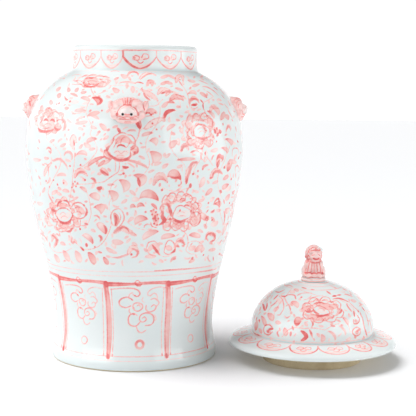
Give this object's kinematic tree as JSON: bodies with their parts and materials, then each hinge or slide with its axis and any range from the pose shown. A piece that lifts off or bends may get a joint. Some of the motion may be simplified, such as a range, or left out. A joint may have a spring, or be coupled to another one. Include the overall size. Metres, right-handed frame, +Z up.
{
  "type": "ginger jar",
  "caption": "Baluster temple jar with four lion-mask bosses on the shoulder and a domed, wide-flanged lid with a seated-lion finial, lid beside the jar, painted in pink floral scrolls.",
  "frame": {"origin": "on the table surface, in the middle of the footprint of the jar and the lid together; the jar's axis is at x = -84.7 mm, y = 0 and the lid's axis at x = 118.7 mm, y = -20.4 mm", "axes": "+Z up along the jar's axis, +X from the jar towards the lid, -Y towards the front lion mask"},
  "size_m": [0.426, 0.2564, 0.35],
  "materials": {
    "painted_glaze": "clear glossy glaze over white porcelain brushed with pink floral scrolls",
    "washed_glaze": "clear glossy glaze over modelled porcelain with a pink wash in the hollows",
    "biscuit": "bare unglazed tan clay, matte"
  },
  "bodies": {
    "jar": {"jar_lower_section": "painted_glaze", "jar_upper_section": "painted_glaze", "neck_collar": "painted_glaze", "lion_mask_front": "washed_glaze", "lion_mask_right": "washed_glaze", "lion_mask_back": "washed_glaze", "lion_mask_left": "washed_glaze"},
    "lid": {"lid_locating_ring": "biscuit", "lid_flange": "painted_glaze", "lid_dome": "painted_glaze", "finial_plinth": "washed_glaze", "finial_lion": "washed_glaze"}
  },
  "joints": [
    {"name": "lid_lift", "type": "slide", "parent": "jar", "child": "lid", "axis": [0.2079, 0, 0.9781], "range_m": [0, 0.36]}
  ]
}
